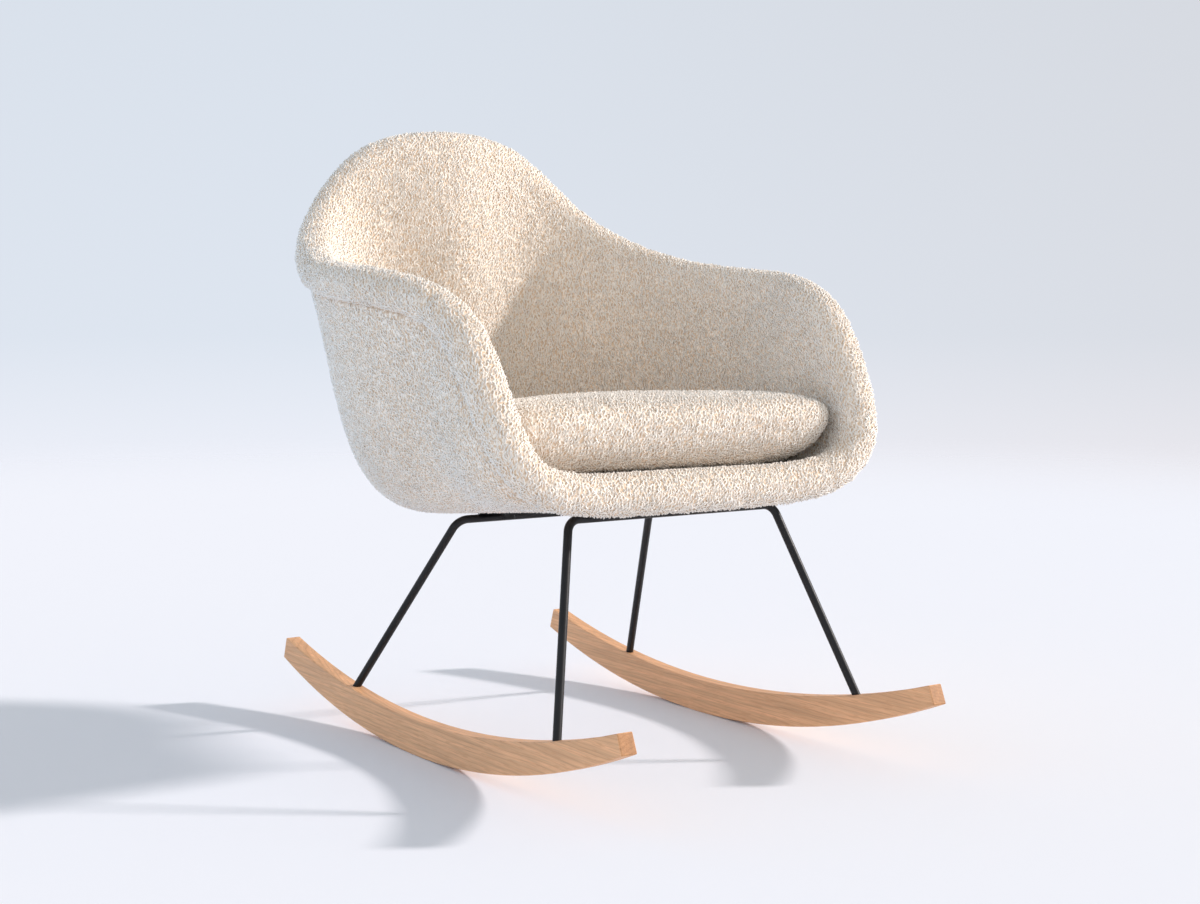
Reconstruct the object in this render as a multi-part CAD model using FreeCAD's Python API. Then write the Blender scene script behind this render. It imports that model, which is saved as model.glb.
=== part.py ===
# Upholstered rocking armchair: a padded bucket seat with a loose cushion on a bent rod base
# that stands on two wooden rockers.
#
# All sizes are in millimetres. The chair faces -Y, +Z is up and +X is the sitter's left.
# The origin is on the floor, half way between the ends of the rockers and between the two sides.
import math
import os

import FreeCAD
import Part

V = FreeCAD.Vector

# Rockers: a crescent cut from board, its tread a long arc and its top a flatter one.
rocker_spacing = 430.0          # between the middles of the two boards
rocker_width = 20.0             # board thickness
rocker_half_length = 406.0      # from the middle of the board to each end, along the floor
rocker_low_y = 35.0             # where the tread is lowest, a little behind the middle
rocker_mid_depth = 43.0         # height of the board over its lowest point
tread_radius = 1158.0
rocker_top_radius = 1443.0
rocker_edge_round = 1.5

# Leg rods: one bent rod in front, one behind, each two legs and a cross bar.
rod_diameter = 10.0
rod_bend_radius = 18.0          # of the rod's middle line
front_bar_half = 146.0          # half the length of the cross bar, corner to corner
front_bar_y = -187.0
front_bar_z = 301.0
rear_bar_half = 145.0
rear_bar_y = 64.0
rear_bar_z = 277.0
front_foot_y = -269.0           # where the legs enter the rockers
rear_foot_y = 213.0
socket_depth = 15.0             # of the rod end in the rocker
socket_clearance = 0.1          # glue gap around the rod end

# Mounting bars: two flats that run fore and aft on top of the cross bars.
mount_bar_width = 30.0
mount_bar_thick = 4.0
mount_bar_x = 98.0
mount_bar_overhang = 6.0        # past the middle of each cross bar

# Seat bolts: two in each mounting bar.
bolt_diameter = 8.0
bolt_clearance = 0.3            # around the shank in plain holes
bolt_head_diameter = 14.0
bolt_head_height = 5.0
bolt_past_nut = 2.0
bolt_inset = 44.0               # from the middle of each cross bar, along the mounting bar
washer_diameter = 18.0
washer_thick = 1.6
spacer_diameter = 24.0
nut_flange_diameter = 20.0
nut_flange_thick = 1.6
nut_barrel_diameter = 10.4
nut_clearance = 0.3             # around the nut in the shell and in the padding
pocket_clearance = 1.0          # in the padding over the bolt end

# Seat build-up, from below or from outside: cover, padding, shell, padding, cover.
seat_gap = 1.8                  # between the mounting bars and the outer cover
cover_thick = 2.5
outer_pad_thick = 8.0           # under the base of the shell
shell_thick = 4.0
inner_pad_thick = 21.0          # on the base of the shell
rim_radius = 24.0               # of the finished roll around the rim
rim_pad_thick = 16.0            # padding on the inside of the shell, just under the roll
rim_straight = 16.0             # how far the shell runs straight below the middle of the roll
shell_into_roll = 6.0           # how far the shell edge reaches past the middle of the roll
crease_angle = 52.0             # below the roll's outermost line, where the outer cover tucks in
grip_thick = 2.5                # hidden strip that holds the edge of the outer cover
grip_depth = 14.0

# Rim of the seat, along the middle of its roll.
rim_half_width = 308.0
rim_front_y = -231.0
rim_back_y = 362.0
lip_rise = 29.0                 # front lip over the middle of the front cross bar
back_rise = 427.0               # top of the back over the front lip
lip_z = front_bar_z + lip_rise
back_z = lip_z + back_rise

# Stations around half of the rim, from the middle of the front lip to the top of the back:
# share of the half width, of the depth and of the height, then the bearing the wall faces,
# how far it leans out, and the bearing of the foot of the wall (degrees, front is 0).
rim_stations = [
    (0.000, 0.000, 0.000, 0.0, 77.0, 0.0),          # middle of the front lip
    (0.315, 0.002, 0.000, 10.0, 75.0, 27.0),
    (0.672, 0.000, 0.008, 32.0, 60.0, 52.0),        # front corner
    (0.818, 0.000, 0.112, 60.0, 28.0, 67.0),
    (0.836, 0.056, 0.275, 75.0, 13.0, 76.0),        # front edge of the arm
    (0.854, 0.126, 0.436, 81.0, 9.0, 84.0),
    (0.896, 0.226, 0.508, 86.0, 7.0, 94.0),
    (1.000, 0.386, 0.544, 94.0, 8.0, 107.0),        # top of the arm
    (0.919, 0.685, 0.560, 114.0, 11.0, 128.0),
    (0.672, 0.962, 0.712, 144.0, 17.0, 150.0),      # shoulder of the back
    (0.380, 1.000, 0.973, 165.0, 20.0, 166.0),
    (0.000, 0.963, 1.000, 180.0, 20.0, 180.0),      # top of the back
]

# Flat base of the seat, where it is bolted down.
wall_spread = 146.0             # from the middle of the roll at the arms in to the side of the base
base_half_width = rim_half_width - wall_spread
base_y = -10.0
base_front = 172.0              # from base_y to the front of the flat
base_back = 172.0
base_squareness = 0.64          # 1 is an ellipse, less is squarer
wall_foot_pull = 0.41           # how far the base runs on before the wall turns up
wall_top_pull = 0.42            # how far down the wall runs straight from the rim

# Loose seat cushion.
cushion_side_room = 62.0        # from the middle of the roll at the arms to the side of the cushion
cushion_half_width = rim_half_width - cushion_side_room
cushion_y = -20.0
cushion_front = 203.0           # from cushion_y to the front of the cushion
cushion_back = 184.0
cushion_front_squareness = 0.23
cushion_back_squareness = 0.44
cushion_taper = 0.18            # share of the width lost towards the back
cushion_height = 87.0
cushion_seam_height = 42.0
cushion_cover_thick = 2.5
cushion_lift_gap = 0.4          # between the cushion and the seat


# Seat plane: it lies on the mounting bars, which lie on the two cross bars.
seat_tilt = math.atan2(front_bar_z - rear_bar_z, rear_bar_y - front_bar_y)
seat_up = V(0, math.sin(seat_tilt), math.cos(seat_tilt))
seat_aft = V(0, math.cos(seat_tilt), -math.sin(seat_tilt))
front_bar_mid = V(0, front_bar_y, front_bar_z)
rear_bar_mid = V(0, rear_bar_y, rear_bar_z)
bar_bottom = rod_diameter / 2
bar_top = bar_bottom + mount_bar_thick


def over_seat(x, y, height):
    """Point over the cross bars' plane: plan position x, y on the plane, then height square to it."""
    foot = front_bar_mid + seat_aft * ((y - front_bar_y) / math.cos(seat_tilt))
    return V(x, 0, 0) + foot + seat_up * height


def unit(vector):
    return vector * (1.0 / vector.Length)


def other_half(points):
    """Adds the mirror image in X to a half ring, so that the ring closes."""
    mirrored = [V(-p.x, p.y, p.z) for p in reversed(points[1:-1])]
    return points + mirrored


# Surfaces around the seat are closed rings of control points, pulled into smooth bands.
# Each is made in two halves that meet in the middle of the front and of the back.
def from_front(ring):
    """The ring's points, shifted so that the curve they pull starts in the middle of the front."""
    return ring[-1:] + ring[:-1]


def disc(ring):
    """Flat face inside a ring."""
    count = len(ring)
    knots = [float(i) for i in range(count + 1)]
    edges = []
    for start in (0, count // 2):
        curve = Part.BSplineCurve()
        curve.buildFromPolesMultsKnots(from_front(ring), [1] * (count + 1), knots, True, 3)
        curve.segment(float(start), float(start + count // 2))
        edges.append(curve.toShape())
    return [Part.Face(Part.Wire(edges))]


def band(*rings):
    """Faces between the first and last ring: straight across for two rings, curved for four."""
    count = len(rings[0])
    degree = len(rings) - 1
    turned = [from_front(ring) for ring in rings]
    poles = [[ring[i] for ring in turned] for i in range(count)]
    knots = [float(i) for i in range(count + 1)]
    single = [1] * (count + 1)
    ends = [degree + 1, degree + 1]
    faces = []
    for start in (0, count // 2):
        surface = Part.BSplineSurface()
        surface.buildFromPolesMultsKnots(poles, single, ends, knots, [0.0, 1.0], True, False, 3, degree)
        surface.segment(float(start), float(start + count // 2), 0.0, 1.0)
        faces.append(surface.toShape())
    return faces


def solid_of(faces):
    shell = Part.makeShell(faces)
    shell.sewShape()
    body = Part.makeSolid(shell)
    if body.Volume < 0:
        body.reverse()
    return body


# Frame at each rim station: the rim point, the direction out of the wall and along it.
rim_half = []
for share_x, share_y, share_z, bearing, lean, foot_bearing in rim_stations:
    rim_x = share_x * rim_half_width
    rim_y = rim_front_y + share_y * (rim_back_y - rim_front_y)
    rim_z = lip_z + share_z * (back_z - lip_z)
    rim_half.append(V(rim_x, rim_y, rim_z))
rim_ring = other_half(rim_half)
seat_middle = V(0, (rim_front_y + rim_back_y) / 2, lip_z + 0.18 * (back_z - lip_z))

out_half = []
along_half = []
for i, station in enumerate(rim_stations):
    bearing = math.radians(station[3])
    lean = math.radians(station[4])
    tangent = unit(rim_ring[i + 1] - rim_ring[i - 1])
    level = V(math.sin(bearing), -math.cos(bearing), 0)
    out = level * math.cos(lean) + V(0, 0, -math.sin(lean))
    out = unit(out - tangent * out.dot(tangent))
    along = out.cross(tangent)
    if along.dot(rim_half[i] - seat_middle) < 0:
        along = along * -1.0
    out_half.append(out)
    along_half.append(along)


def rim_at(out_by, along_by):
    """Ring that runs beside the rim: so far out of the wall and so far along it."""
    points = []
    for point, out, along in zip(rim_half, out_half, along_half):
        points.append(point + out * out_by + along * along_by)
    return other_half(points)


def power(value, exponent):
    return math.copysign(abs(value) ** exponent, value)


def foot_at(height):
    """Edge of the flat base, at a height over the cross bars' plane."""
    points = []
    for station in rim_stations:
        bearing = math.radians(station[5])
        reach = base_front if math.cos(bearing) > 0 else base_back
        x = base_half_width * power(math.sin(bearing), base_squareness)
        y = base_y - reach * power(math.cos(bearing), base_squareness)
        points.append(over_seat(x, y, height))
    return other_half(points)


def wall(foot_ring, top_ring):
    """Wall of the bucket: leaves the base level and meets the rim along the rim's own direction."""
    low = []
    high = []
    half = len(rim_stations)
    for i in range(half):
        bearing = math.radians(rim_stations[i][5])
        run = V(math.sin(bearing), 0, 0) + seat_aft * -math.cos(bearing)
        step = top_ring[i] - foot_ring[i]
        reach = step.Length
        rise = max(step.dot(seat_up), 1.0)
        steep = max(along_half[i].dot(seat_up), 0.05)
        drop = min(reach * wall_top_pull, 0.8 * rise / steep)
        low.append(foot_ring[i] + run * (reach * wall_foot_pull))
        high.append(top_ring[i] - along_half[i] * drop)
    return band(foot_ring, other_half(low), other_half(high), top_ring)


def roll(radius):
    """The rim roll, from its inner side over the top and round to the crease."""
    quarter = 0.5523 * radius
    turn = math.radians(crease_angle)
    pull = 4.0 / 3.0 * math.tan(turn / 4) * radius
    end_out = radius * math.cos(turn)
    end_along = -radius * math.sin(turn)
    inner = rim_at(-radius, 0)
    top = rim_at(0, radius)
    outer = rim_at(radius, 0)
    crease = rim_at(end_out, end_along)
    over_inner = band(inner, rim_at(-radius, quarter), rim_at(-quarter, radius), top)
    over_outer = band(top, rim_at(quarter, radius), rim_at(radius, quarter), outer)
    lift_out = end_out + pull * math.sin(turn)
    lift_along = end_along + pull * math.cos(turn)
    under = band(outer, rim_at(radius, -pull), rim_at(lift_out, lift_along), crease)
    return over_inner + over_outer + under


def crease_at(radius):
    turn = math.radians(crease_angle)
    return rim_at(radius * math.cos(turn), -radius * math.sin(turn))


# Levels of the seat build-up over the cross bars' plane.
outside_level = bar_top + seat_gap
outer_pad_level = outside_level + cover_thick
shell_level = outer_pad_level + outer_pad_thick
inner_pad_level = shell_level + shell_thick
inner_cover_level = inner_pad_level + inner_pad_thick
inside_level = inner_cover_level + cover_thick

# Rings of the layers at the rim.
pad_radius = rim_radius - cover_thick
shell_in = -(pad_radius - rim_pad_thick)
shell_out = shell_in + shell_thick
shell_in_grip = rim_at(shell_in, -rim_straight - grip_depth)
shell_in_low = rim_at(shell_in, -rim_straight)
shell_in_top = rim_at(shell_in, shell_into_roll)
shell_out_low = rim_at(shell_out, -rim_straight)
shell_out_top = rim_at(shell_out, shell_into_roll)
shell_out_grip = rim_at(shell_out, -rim_straight - grip_depth)
grip_out_low = rim_at(shell_out + grip_thick, -rim_straight - grip_depth)
grip_out_top = rim_at(shell_out + grip_thick, -rim_straight)
pad_in_low = rim_at(-pad_radius, -rim_straight)
pad_in_top = rim_at(-pad_radius, 0)
inside_low = rim_at(-rim_radius, -rim_straight)
inside_top = rim_at(-rim_radius, 0)
crease_outer = crease_at(rim_radius)
crease_inner = crease_at(pad_radius)

# Rings of the layers at the flat base.
outside_foot = foot_at(outside_level)
outer_pad_foot = foot_at(outer_pad_level)
shell_foot = foot_at(shell_level)
inner_pad_foot = foot_at(inner_pad_level)
inner_cover_foot = foot_at(inner_cover_level)
inside_foot = foot_at(inside_level)


def shell_faces_out():
    return wall(shell_foot, shell_out_grip)


def shell_faces_in():
    return wall(inner_pad_foot, shell_in_grip) + band(shell_in_grip, shell_in_low)


def shell_edge_faces():
    """The part of the shell that stands in the roll."""
    outside = band(shell_out_low, shell_out_top)
    edge = band(shell_out_top, shell_in_top)
    inside = band(shell_in_top, shell_in_low)
    return outside + edge + inside


def pad_faces_in():
    return wall(inner_cover_foot, pad_in_low)


# Moulded bucket shell.
seat_shell = solid_of(
    disc(shell_foot)
    + shell_faces_out()
    + band(shell_out_grip, shell_out_low)
    + shell_edge_faces()
    + shell_faces_in()
    + disc(inner_pad_foot)
)

# Padding on the inside of the shell.
inner_pad = solid_of(
    disc(inner_pad_foot)
    + shell_faces_in()
    + band(shell_in_low, pad_in_low)
    + pad_faces_in()
    + disc(inner_cover_foot)
)

# Padded roll that sits over the shell edge all the way round.
rim_roll = solid_of(
    band(shell_in_low, pad_in_low)
    + band(pad_in_low, pad_in_top)
    + roll(pad_radius)
    + band(crease_inner, grip_out_top)
    + band(grip_out_top, shell_out_low)
    + shell_edge_faces()
)

# Strip under the roll that grips the upper edge of the outer cover.
grip_strip = solid_of(
    band(shell_out_grip, shell_out_low)
    + band(shell_out_low, grip_out_top)
    + band(grip_out_top, grip_out_low)
    + band(grip_out_low, shell_out_grip)
)

# Padding on the outside of the shell.
outer_pad = solid_of(
    disc(shell_foot)
    + shell_faces_out()
    + band(shell_out_grip, grip_out_low)
    + band(grip_out_low, grip_out_top)
    + band(grip_out_top, crease_inner)
    + wall(outer_pad_foot, crease_inner)
    + disc(outer_pad_foot)
)

# Outer cover, from the crease down and across the underside.
outer_cover = solid_of(
    disc(outer_pad_foot)
    + wall(outer_pad_foot, crease_inner)
    + band(crease_inner, crease_outer)
    + wall(outside_foot, crease_outer)
    + disc(outside_foot)
)

# Inner cover, over the seat and back, round the roll and into the crease.
inner_cover = solid_of(
    disc(inner_cover_foot)
    + pad_faces_in()
    + band(pad_in_low, pad_in_top)
    + roll(pad_radius)
    + band(crease_inner, crease_outer)
    + roll(rim_radius)
    + band(inside_top, inside_low)
    + wall(inside_foot, inside_low)
    + disc(inside_foot)
)


# Places of the seat bolts: plan x and y over the cross bars' plane.
bolt_places = []
for side in (-1, 1):
    for y in (front_bar_y + bolt_inset, rear_bar_y - bolt_inset):
        bolt_places.append((side * mount_bar_x, y))


def pin(place, diameter, low, high):
    """Round piece square to the seat plane, between two levels."""
    return Part.makeCylinder(diameter / 2, high - low, over_seat(place[0], place[1], low), seat_up)


def ring_pin(place, diameter, bore, low, high):
    return pin(place, diameter, low, high).cut(pin(place, bore, low - 1, high + 1))


def at_bolts(make):
    return [make(place) for place in bolt_places]


def drilled(body, diameter, low, high):
    for place in bolt_places:
        body = body.cut(pin(place, diameter, low, high))
    return body


bolt_bore = bolt_diameter + 2 * bolt_clearance
washer_level = bar_bottom - washer_thick
nut_top_level = inner_pad_level + nut_flange_thick
bolt_end_level = nut_top_level + bolt_past_nut
barrel_bore = nut_barrel_diameter + 2 * nut_clearance
pocket_diameter = nut_flange_diameter + 2 * nut_clearance
pocket_level = bolt_end_level + pocket_clearance

# Spacers carry the shell on the mounting bars, through the outer cover and padding.
seat_spacers = at_bolts(lambda p: ring_pin(p, spacer_diameter, bolt_bore, bar_top, shell_level))
outer_cover = drilled(outer_cover, spacer_diameter, outside_level - 1, outer_pad_level + 1)
outer_pad = drilled(outer_pad, spacer_diameter, outer_pad_level - 1, shell_level + 1)

# Flanged nuts sit in the shell from its inner side.
seat_shell = drilled(seat_shell, barrel_bore, shell_level - 1, inner_pad_level + 1)
inner_pad = drilled(inner_pad, pocket_diameter, inner_pad_level - 1, pocket_level)


def flanged_nut(place):
    flange = pin(place, nut_flange_diameter, inner_pad_level, nut_top_level)
    barrel = pin(place, nut_barrel_diameter, shell_level, nut_top_level)
    return flange.fuse(barrel).cut(pin(place, bolt_diameter, shell_level - 1, nut_top_level + 1)).removeSplitter()


def seat_bolt(place):
    shank = pin(place, bolt_diameter, washer_level, bolt_end_level)
    head = pin(place, bolt_head_diameter, washer_level - bolt_head_height, washer_level)
    return shank.fuse(head).removeSplitter()


shell_nuts = at_bolts(flanged_nut)
seat_bolts = at_bolts(seat_bolt)
seat_washers = at_bolts(lambda p: ring_pin(p, washer_diameter, bolt_bore, washer_level, bar_bottom))


# Mounting bars.
def mount_bar(x):
    half = mount_bar_width / 2
    front = front_bar_y - mount_bar_overhang
    rear = rear_bar_y + mount_bar_overhang
    corners = [(x - half, front), (x + half, front), (x + half, rear), (x - half, rear)]
    points = [over_seat(px, py, bar_bottom) for px, py in corners]
    face = Part.Face(Part.makePolygon(points + points[:1]))
    bar = face.extrude(seat_up * mount_bar_thick)
    return drilled(bar, bolt_bore, bar_bottom - 1, bar_top + 1)


left_mount_bar = mount_bar(mount_bar_x)
right_mount_bar = mount_bar(-mount_bar_x)


# Rockers.
rocker_x = rocker_spacing / 2
tread_middle = V(0, rocker_low_y, tread_radius)
top_middle = V(0, rocker_low_y, rocker_mid_depth + rocker_top_radius)


def arc_point(middle, radius, y):
    aside = y - middle.y
    return V(0, y, middle.z - math.sqrt(radius * radius - aside * aside))


def rocker_end(y):
    """Ends of the tread and of the top, cut square to the tread."""
    low = arc_point(tread_middle, tread_radius, y)
    inward = unit(tread_middle - low)
    from_top = low - top_middle
    b = from_top.dot(inward)
    c = from_top.dot(from_top) - rocker_top_radius * rocker_top_radius
    high = low + inward * (-b - math.sqrt(b * b - c))
    return low, high


def rocker_board(x):
    front_low, front_high = rocker_end(-rocker_half_length)
    rear_low, rear_high = rocker_end(rocker_half_length)
    tread = Part.Arc(front_low, V(0, rocker_low_y, 0), rear_low).toShape()
    rear = Part.makeLine(rear_low, rear_high)
    top = Part.Arc(rear_high, V(0, rocker_low_y, rocker_mid_depth), front_high).toShape()
    front = Part.makeLine(front_high, front_low)
    face = Part.Face(Part.Wire([tread, rear, top, front]))
    face.translate(V(x - rocker_width / 2, 0, 0))
    board = face.extrude(V(rocker_width, 0, 0))
    return board.makeFillet(rocker_edge_round, board.Edges)


# Leg rods: each leg aims at a point in the middle of its rocker, half way down the socket.
def foot_mid(y):
    surface = arc_point(top_middle, rocker_top_radius, y)
    return V(rocker_x, surface.y, surface.z - socket_depth / 2)


def leg_line(corner, y):
    """Lower end of the leg and its direction up to the corner."""
    middle = foot_mid(y)
    direction = unit(corner - middle)
    end = middle - direction * (socket_depth / 2)
    return end, direction


def leg_rod(corner, y):
    end, direction = leg_line(corner, y)
    across = V(-1, 0, 0)
    turn = math.acos(direction.dot(across))
    back_off = rod_bend_radius * math.tan(turn / 2)
    bend_from = corner - direction * back_off
    bend_to = corner + across * back_off
    inward = unit(across - direction)
    middle = corner + inward * (rod_bend_radius / math.cos(turn / 2))
    bend_mid = middle - inward * rod_bend_radius

    def flip(p):
        return V(-p.x, p.y, p.z)

    path = Part.Wire([
        Part.makeLine(end, bend_from),
        Part.Arc(bend_from, bend_mid, bend_to).toShape(),
        Part.makeLine(bend_to, flip(bend_to)),
        Part.Arc(flip(bend_to), flip(bend_mid), flip(bend_from)).toShape(),
        Part.makeLine(flip(bend_from), flip(end)),
    ])
    section = Part.Wire([Part.makeCircle(rod_diameter / 2, end, direction)])
    return path.makePipeShell([section], True, True)


front_corner = V(front_bar_half, front_bar_y, front_bar_z)
rear_corner = V(rear_bar_half, rear_bar_y, rear_bar_z)
front_leg_rod = leg_rod(front_corner, front_foot_y)
rear_leg_rod = leg_rod(rear_corner, rear_foot_y)


def rocker(side):
    board = rocker_board(side * rocker_x)
    for corner, y in ((front_corner, front_foot_y), (rear_corner, rear_foot_y)):
        end, direction = leg_line(corner, y)
        end = V(side * end.x, end.y, end.z)
        direction = V(side * direction.x, direction.y, direction.z)
        radius = rod_diameter / 2 + socket_clearance
        board = board.cut(Part.makeCylinder(radius, 3 * socket_depth, end, direction))
    return board


left_rocker = rocker(1)
right_rocker = rocker(-1)


# Cushion: rings in plan, from its flat underside over the seam to the crown.
cushion_level = inside_level + cushion_lift_gap
cushion_steps = 24


def cushion_ring(share, height, inset):
    points = []
    for i in range(cushion_steps):
        bearing = 2 * math.pi * i / cushion_steps
        ahead = math.cos(bearing) > 0
        reach = cushion_front if ahead else cushion_back
        square = cushion_front_squareness if ahead else cushion_back_squareness
        narrow = 1 - cushion_taper * (1 - math.cos(bearing)) / 2
        x = (cushion_half_width * narrow * share - inset) * power(math.sin(bearing), square)
        y = cushion_y - (reach * share - inset) * power(math.cos(bearing), square)
        points.append(over_seat(x, y, cushion_level + height))
    return points


def cushion_under(inset):
    seam = cushion_seam_height
    foot = cushion_ring(0.66, inset, 0)
    run = cushion_ring(0.82, inset, 0)
    drop = cushion_ring(0.95, seam * 0.35 + inset, inset)
    return foot, band(foot, run, drop, cushion_ring(1.0, seam, inset))


def cushion_over(inset):
    seam = cushion_seam_height
    top = cushion_height - inset
    rise = cushion_ring(1.05, seam + (top - seam) * 0.60, inset)
    shoulder = cushion_ring(1.00, top, inset)
    crown = cushion_ring(0.50, top, 0)
    return crown, band(cushion_ring(1.0, seam, inset), rise, shoulder, crown)


under_foot, under_faces = cushion_under(0)
under_foot_in, under_faces_in = cushion_under(cushion_cover_thick)
over_crown, over_faces = cushion_over(0)
over_crown_in, over_faces_in = cushion_over(cushion_cover_thick)
seam_out = cushion_ring(1.0, cushion_seam_height, 0)
seam_in = cushion_ring(1.0, cushion_seam_height, cushion_cover_thick)

cushion_base_cover = solid_of(
    disc(under_foot) + under_faces + band(seam_out, seam_in) + under_faces_in + disc(under_foot_in)
)
cushion_top_cover = solid_of(
    disc(over_crown) + over_faces + band(seam_out, seam_in) + over_faces_in + disc(over_crown_in)
)
cushion_core = solid_of(disc(under_foot_in) + under_faces_in + over_faces_in + disc(over_crown_in))


pieces = {
    "seat_shell": seat_shell,
    "inner_pad": inner_pad,
    "outer_pad": outer_pad,
    "rim_roll": rim_roll,
    "grip_strip": grip_strip,
    "inner_cover": inner_cover,
    "outer_cover": outer_cover,
    "cushion_core": cushion_core,
    "cushion_top_cover": cushion_top_cover,
    "cushion_base_cover": cushion_base_cover,
    "front_leg_rod": front_leg_rod,
    "rear_leg_rod": rear_leg_rod,
    "left_mount_bar": left_mount_bar,
    "right_mount_bar": right_mount_bar,
    "seat_bolts": Part.makeCompound(seat_bolts),
    "seat_washers": Part.makeCompound(seat_washers),
    "seat_spacers": Part.makeCompound(seat_spacers),
    "shell_nuts": Part.makeCompound(shell_nuts),
    "left_rocker": left_rocker,
    "right_rocker": right_rocker,
}

os.makedirs("parts", exist_ok=True)
for name, shape in pieces.items():
    shape.exportStep("parts/" + name + ".step")
    box = shape.BoundBox
    print(name, len(shape.Solids), "solid", "valid" if shape.isValid() else "NOT VALID",
          round(shape.Volume / 1000, 1), "cm3",
          [round(v, 1) for v in (box.XMin, box.XMax, box.YMin, box.YMax, box.ZMin, box.ZMax)])
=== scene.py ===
# %% [markdown]
# # An upholstered rocking chair
# The construction model gives every piece its place and size: a bucket seat in layers, a loose
# cushion, two bent rods, the fasteners and two wooden rockers. This lesson dresses that model.
# The hard pieces keep their own meshes and get materials. The soft ones are built again as padded
# forms, because cloth over foam is never as clean as a drawn solid.

# %% Load the construction model
import math

import bmesh
import bpy
import numpy as np
from mathutils import Matrix, Vector
from mathutils.bvhtree import BVHTree


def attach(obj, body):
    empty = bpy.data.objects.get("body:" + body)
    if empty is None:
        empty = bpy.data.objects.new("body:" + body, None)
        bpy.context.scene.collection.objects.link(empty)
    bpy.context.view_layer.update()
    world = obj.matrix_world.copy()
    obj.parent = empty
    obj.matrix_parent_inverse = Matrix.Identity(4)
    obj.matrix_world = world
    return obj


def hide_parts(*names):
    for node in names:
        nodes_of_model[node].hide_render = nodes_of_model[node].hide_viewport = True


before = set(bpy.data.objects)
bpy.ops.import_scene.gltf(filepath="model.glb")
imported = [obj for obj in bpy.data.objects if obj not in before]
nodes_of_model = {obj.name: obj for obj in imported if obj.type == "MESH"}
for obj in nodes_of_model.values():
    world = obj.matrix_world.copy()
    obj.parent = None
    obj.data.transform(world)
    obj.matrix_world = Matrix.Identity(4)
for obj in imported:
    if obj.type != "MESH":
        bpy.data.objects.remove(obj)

scene = bpy.context.scene
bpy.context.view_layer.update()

# %% [markdown]
# ## Camera
# The picture looks at the chair's right front from a little over seat height, through a short
# telephoto lens. Place, bearing and tilt come from the chair itself: the rockers, the rods and the
# rim all had to fall on their own outlines at once. The camera looks along its own -Z axis, so its
# matrix has the view's right, up and backward directions as columns.

# %% Place the camera
camera_place = Vector((-1.2853, -1.9423, 0.5436))
camera_bearing = math.radians(-33.946)
camera_tilt = math.radians(4.547)
camera_lens = 56.51
camera_film = 36.0


def aimed(bearing, tilt):
    """Rotation of a camera that looks towards a bearing from +Y, tilted down."""
    backward = Vector((
        math.sin(bearing) * math.cos(tilt),
        -math.cos(bearing) * math.cos(tilt),
        math.sin(tilt),
    ))
    rightward = Vector((math.cos(bearing), math.sin(bearing), 0.0))
    upward = backward.cross(rightward)
    return Matrix((rightward, upward, backward)).transposed()


camera_data = bpy.data.cameras.new("camera")
camera_data.sensor_fit = "HORIZONTAL"
camera_data.sensor_width = camera_film
camera_data.lens = camera_lens
camera = bpy.data.objects.new("camera", camera_data)
camera.matrix_world = Matrix.Translation(camera_place) @ aimed(camera_bearing, camera_tilt).to_4x4()
scene.collection.objects.link(camera)
scene.camera = camera
print("camera", camera_lens, "mm, at", camera_place)

# %% [markdown]
# ## Node helpers
# Materials and geometry trees are both graphs of nodes. A few small helpers keep the script short:
# one adds a node with its settings and its input values, one joins two sockets, one starts a
# material, one fills a colour ramp and one stretches a noise to a range of values.

# %% Node helpers
def put(tree, kind, values=None, **settings):
    """A new node: settings are its own, values go to its input sockets."""
    made = tree.nodes.new(kind)
    for name, value in settings.items():
        setattr(made, name, value)
    for socket, value in (values or {}).items():
        made.inputs[socket].default_value = value
    return made


def wire(tree, source, out, target, into):
    """Joins an output socket of one node to an input socket of another."""
    tree.links.new(source.outputs[out], target.inputs[into])


def new_material(name, **principled):
    """A material with only its Principled BSDF set: returns the material, its tree and the shader."""
    material = bpy.data.materials.new(name)
    material.use_nodes = True
    tree = material.node_tree
    shader = tree.nodes["Principled BSDF"]
    for socket, value in principled.items():
        shader.inputs[socket.replace("_", " ")].default_value = value
    return material, tree, shader


def ramp(tree, stops):
    """A colour ramp with the given places and colours."""
    made = put(tree, "ShaderNodeValToRGB")
    band = made.color_ramp
    while len(band.elements) < len(stops):
        band.elements.new(0.5)
    for element, (place, colour) in zip(band.elements, stops):
        element.position = place
        element.color = (*colour, 1.0)
    return made


def spread(tree, low, high):
    """Stretches the middle part of a noise to the range from low to high."""
    return put(tree, "ShaderNodeMapRange",
               {"From Min": 0.3, "From Max": 0.7, "To Min": low, "To Max": high})


# %% [markdown]
# ## A shared mottle
# No real surface is one even colour. Powder coat, plastic and wool all vary a little over some
# centimetres and again over a millimetre or two. One shader group makes both, and each material
# sets its own scales.

# %% Mottle group
def mottle_group():
    group = bpy.data.node_groups.new("mottle", "ShaderNodeTree")
    face = group.interface
    face.new_socket("Broad Scale", in_out="INPUT", socket_type="NodeSocketFloat").default_value = 20.0
    face.new_socket("Fine Scale", in_out="INPUT", socket_type="NodeSocketFloat").default_value = 600.0
    face.new_socket("Broad", in_out="OUTPUT", socket_type="NodeSocketFloat")
    face.new_socket("Fine", in_out="OUTPUT", socket_type="NodeSocketFloat")
    entry = put(group, "NodeGroupInput")
    leave = put(group, "NodeGroupOutput")
    place = put(group, "ShaderNodeTexCoord")
    for name, detail in (("Broad", 3.0), ("Fine", 2.0)):
        noise = put(group, "ShaderNodeTexNoise", {"Detail": detail, "Roughness": 0.55})
        wire(group, place, "Object", noise, "Vector")
        wire(group, entry, name + " Scale", noise, "Scale")
        wire(group, noise, "Fac", leave, name)
    return group


mottle = mottle_group()


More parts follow.
